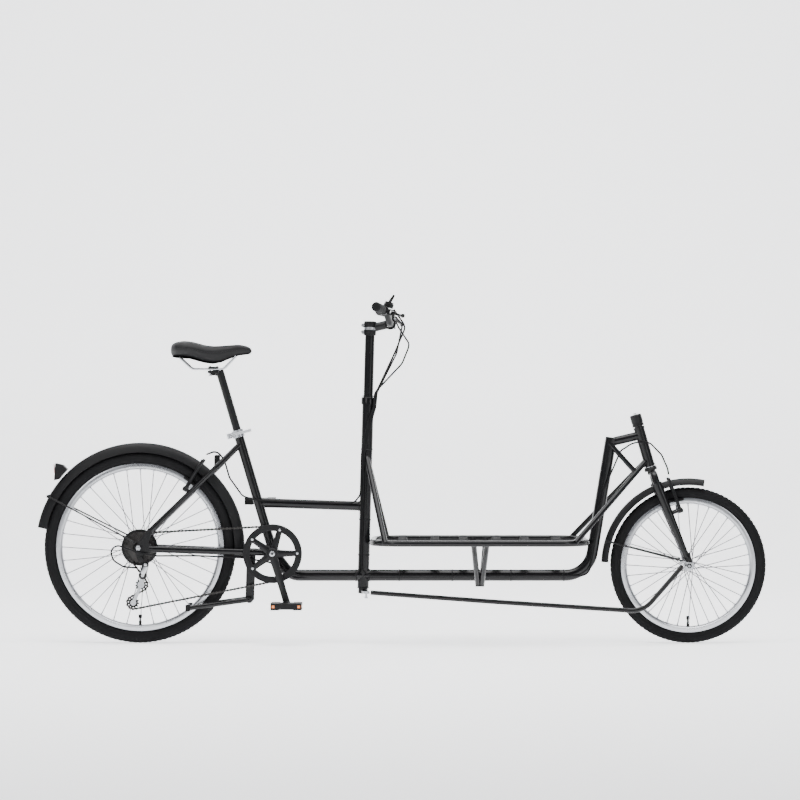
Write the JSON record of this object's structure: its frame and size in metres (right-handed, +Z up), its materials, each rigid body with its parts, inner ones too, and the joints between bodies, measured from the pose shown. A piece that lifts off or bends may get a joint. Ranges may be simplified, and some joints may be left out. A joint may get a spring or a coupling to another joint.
{
  "type": "cargo bicycle",
  "caption": "Long cargo bicycle with a tubular load platform between the steering column and a small front wheel turned by a tie rod, and a chain-driven rear wheel.",
  "frame": {"origin": "on the ground, under the middle of the bicycle's length and width", "axes": "+X forward, +Y to the rider's left, +Z up"},
  "size_m": [2.4774, 0.5852, 1.1829],
  "materials": {
    "frame_paint": "gloss black paint",
    "black_alloy": "satin black anodised",
    "silver_alloy": "polished and machined",
    "drive_steel": "oiled steel",
    "tyre": "black rubber tread",
    "rubber": "matte black",
    "black_plastic": "moulded black",
    "saddle_cover": "matte vinyl"
  },
  "bodies": {
    "frame": {"seat_tube": "frame_paint", "seat_stays": "frame_paint", "chain_stays": "frame_paint", "mid_tube": "frame_paint", "steering_tube": "frame_paint", "main_boom": "frame_paint", "head_tube": "frame_paint", "front_truss_right": "frame_paint", "front_truss_left": "frame_paint", "cargo_platform": "frame_paint", "platform_hanger": "frame_paint", "column_brace_right": "frame_paint", "column_brace_left": "frame_paint", "seat_clamp": "silver_alloy", "rear_fender": "black_plastic", "rear_reflector": "black_plastic", "rear_axle": "frame_paint", "chain": "drive_steel", "front_brake_cable": "rubber", "rear_brake_cable": "rubber", "shift_cable": "rubber"},
    "seat_post": {"seat_post": "black_alloy", "saddle": "saddle_cover"},
    "seat_clamp_lever": {"seat_clamp_lever": "silver_alloy"},
    "handlebar": {"steering_column": "frame_paint", "stem": "black_alloy", "handlebar": "black_alloy", "grip_right": "rubber", "grip_left": "rubber", "lever_mount_right": "black_alloy", "lever_mount_left": "black_alloy", "shifter_body": "black_plastic"},
    "brake_lever_right": {"brake_lever_right": "black_alloy"},
    "brake_lever_left": {"brake_lever_left": "black_alloy"},
    "shift_lever": {"shift_lever": "black_plastic"},
    "tie_rod": {"tie_rod": "frame_paint"},
    "fork": {"fork": "frame_paint", "front_fender": "black_plastic", "front_axle": "silver_alloy"},
    "front_brake_arm_right": {"front_brake_arm_right": "black_alloy"},
    "front_brake_arm_left": {"front_brake_arm_left": "black_alloy"},
    "front_wheel": {"front_tyre": "tyre", "front_rim": "silver_alloy", "front_hub": "silver_alloy"},
    "rear_wheel": {"rear_tyre": "tyre", "rear_rim": "silver_alloy", "rear_hub": "silver_alloy"},
    "freewheel": {"freewheel": "drive_steel"},
    "cranks": {"chainring": "black_alloy", "crank_right": "black_alloy", "crank_left": "black_alloy"},
    "pedal_right": {"pedal_right": "black_plastic"},
    "pedal_left": {"pedal_left": "black_plastic"},
    "derailleur_body": {"derailleur_body": "black_alloy"},
    "derailleur_cage": {"derailleur_cage": "silver_alloy"},
    "jockey_upper": {"jockey_upper": "black_plastic"},
    "jockey_lower": {"jockey_lower": "black_plastic"},
    "kickstand": {"kickstand": "frame_paint"},
    "rear_brake_arm_right": {"rear_brake_arm_right": "black_alloy"},
    "rear_brake_arm_left": {"rear_brake_arm_left": "black_alloy"}
  },
  "joints": [
    {"name": "handlebar_turn", "type": "hinge", "parent": "frame", "child": "handlebar", "pos_m": [-0.12827, 0, 0.347], "axis": [0.027, 0, 0.9996], "range_deg": [-25, 25], "deforming": ["front_brake_cable", "rear_brake_cable", "shift_cable"]},
    {"name": "fork_turn", "type": "hinge", "parent": "frame", "child": "fork", "pos_m": [0.84673, 0, 0.592], "axis": [-0.2756, 0, 0.9613], "range_deg": [-25.4, 25.4]},
    {"name": "tie_rod_turn", "type": "hinge", "parent": "fork", "child": "tie_rod", "pos_m": [0.95299, -0.075, 0.26858], "axis": [-0.2756, 0, 0.9613], "range_deg": [-25.4, 25.4]},
    {"name": "front_wheel_spin", "type": "hinge", "parent": "fork", "child": "front_wheel", "pos_m": [0.97373, 0, 0.265], "axis": [0, 1, 0], "continuous": true},
    {"name": "rear_wheel_spin", "type": "hinge", "parent": "frame", "child": "rear_wheel", "pos_m": [-0.89127, 0, 0.326], "axis": [0, 1, 0], "continuous": true},
    {"name": "crank_spin", "type": "hinge", "parent": "frame", "child": "cranks", "pos_m": [-0.43827, 0, 0.306], "axis": [0, 1, 0], "continuous": true},
    {"name": "freewheel_spin", "type": "hinge", "parent": "frame", "child": "freewheel", "pos_m": [-0.89127, 0, 0.326], "axis": [0, 1, 0], "continuous": true},
    {"name": "pedal_right_spin", "type": "hinge", "parent": "cranks", "child": "pedal_right", "pos_m": [-0.38715, -0.129, 0.13341], "axis": [0, 1, 0], "continuous": true},
    {"name": "pedal_left_spin", "type": "hinge", "parent": "cranks", "child": "pedal_left", "pos_m": [-0.48939, 0.129, 0.47859], "axis": [0, 1, 0], "continuous": true},
    {"name": "derailleur_shift", "type": "slide", "parent": "frame", "child": "derailleur_body", "axis": [0, 1, 0], "range_m": [-0.025, 0.005]},
    {"name": "cage_swing", "type": "hinge", "parent": "derailleur_body", "child": "derailleur_cage", "pos_m": [-0.87727, 0, 0.233], "axis": [0, 1, 0], "range_deg": [-20, 25], "stiffness_Nm_per_rad": 3, "deforming": ["chain"]},
    {"name": "jockey_upper_spin", "type": "hinge", "parent": "derailleur_cage", "child": "jockey_upper", "pos_m": [-0.88527, -0.035, 0.2], "axis": [0, 1, 0], "continuous": true},
    {"name": "jockey_lower_spin", "type": "hinge", "parent": "derailleur_cage", "child": "jockey_lower", "pos_m": [-0.91127, -0.035, 0.139], "axis": [0, 1, 0], "continuous": true},
    {"name": "brake_lever_right_pull", "type": "hinge", "parent": "handlebar", "child": "brake_lever_right", "pos_m": [-0.02847, -0.146, 1.11907], "axis": [-0.309, 0, -0.9511], "range_deg": [0, 18], "stiffness_Nm_per_rad": 2, "springref_deg": -5.73},
    {"name": "brake_lever_left_pull", "type": "hinge", "parent": "handlebar", "child": "brake_lever_left", "pos_m": [-0.03316, 0.146, 1.10987], "axis": [0.5878, 0, 0.809], "range_deg": [0, 18], "stiffness_Nm_per_rad": 2, "springref_deg": -5.73},
    {"name": "front_brake_arm_right_close", "type": "hinge", "parent": "fork", "child": "front_brake_arm_right", "pos_m": [0.94473, -0.041, 0.452], "axis": [-0.9425, 0, -0.3342], "range_deg": [0, 3.3]},
    {"name": "front_brake_arm_left_close", "type": "hinge", "parent": "fork", "child": "front_brake_arm_left", "pos_m": [0.94473, 0.041, 0.452], "axis": [0.9425, 0, 0.3342], "range_deg": [0, 3.3]},
    {"name": "rear_brake_arm_right_close", "type": "hinge", "parent": "frame", "child": "rear_brake_arm_right", "pos_m": [-0.73427, -0.042, 0.525], "axis": [-0.859, 0, 0.5119], "range_deg": [0, 3.3]},
    {"name": "rear_brake_arm_left_close", "type": "hinge", "parent": "frame", "child": "rear_brake_arm_left", "pos_m": [-0.73427, 0.042, 0.525], "axis": [0.859, 0, -0.5119], "range_deg": [0, 3.3]},
    {"name": "shift_lever_push", "type": "hinge", "parent": "handlebar", "child": "shift_lever", "pos_m": [-0.04376, -0.117, 1.14513], "axis": [0.2955, 0, 0.9553], "range_deg": [-10.3, 50.3]},
    {"name": "seat_height", "type": "slide", "parent": "frame", "child": "seat_post", "axis": [-0.2827, 0, 0.9592], "range_m": [-0.07, 0.1]},
    {"name": "clamp_lever_open", "type": "hinge", "parent": "frame", "child": "seat_clamp_lever", "pos_m": [-0.58669, -0.03, 0.70352], "axis": [0.2827, 0, -0.9592], "range_deg": [0, 150]},
    {"name": "kickstand_swing", "type": "hinge", "parent": "frame", "child": "kickstand", "pos_m": [-0.52027, 0, 0.149], "axis": [0, -1, 0], "range_deg": [0, 110]}
  ],
  "couplings": [
    {"joint": "fork_turn", "follows": "handlebar_turn", "ratio": 1},
    {"joint": "tie_rod_turn", "follows": "handlebar_turn", "ratio": -1},
    {"joint": "freewheel_spin", "follows": "crank_spin", "ratio": 1.9167},
    {"joint": "jockey_upper_spin", "follows": "crank_spin", "ratio": -4.1818},
    {"joint": "jockey_lower_spin", "follows": "crank_spin", "ratio": 4.1818},
    {"joint": "front_brake_arm_right_close", "follows": "brake_lever_right_pull", "ratio": 0.18},
    {"joint": "front_brake_arm_left_close", "follows": "brake_lever_right_pull", "ratio": 0.18},
    {"joint": "rear_brake_arm_right_close", "follows": "brake_lever_left_pull", "ratio": 0.18},
    {"joint": "rear_brake_arm_left_close", "follows": "brake_lever_left_pull", "ratio": 0.18},
    {"joint": "shift_lever_push", "follows": "derailleur_shift", "rad_per_m": -34.907}
  ]
}
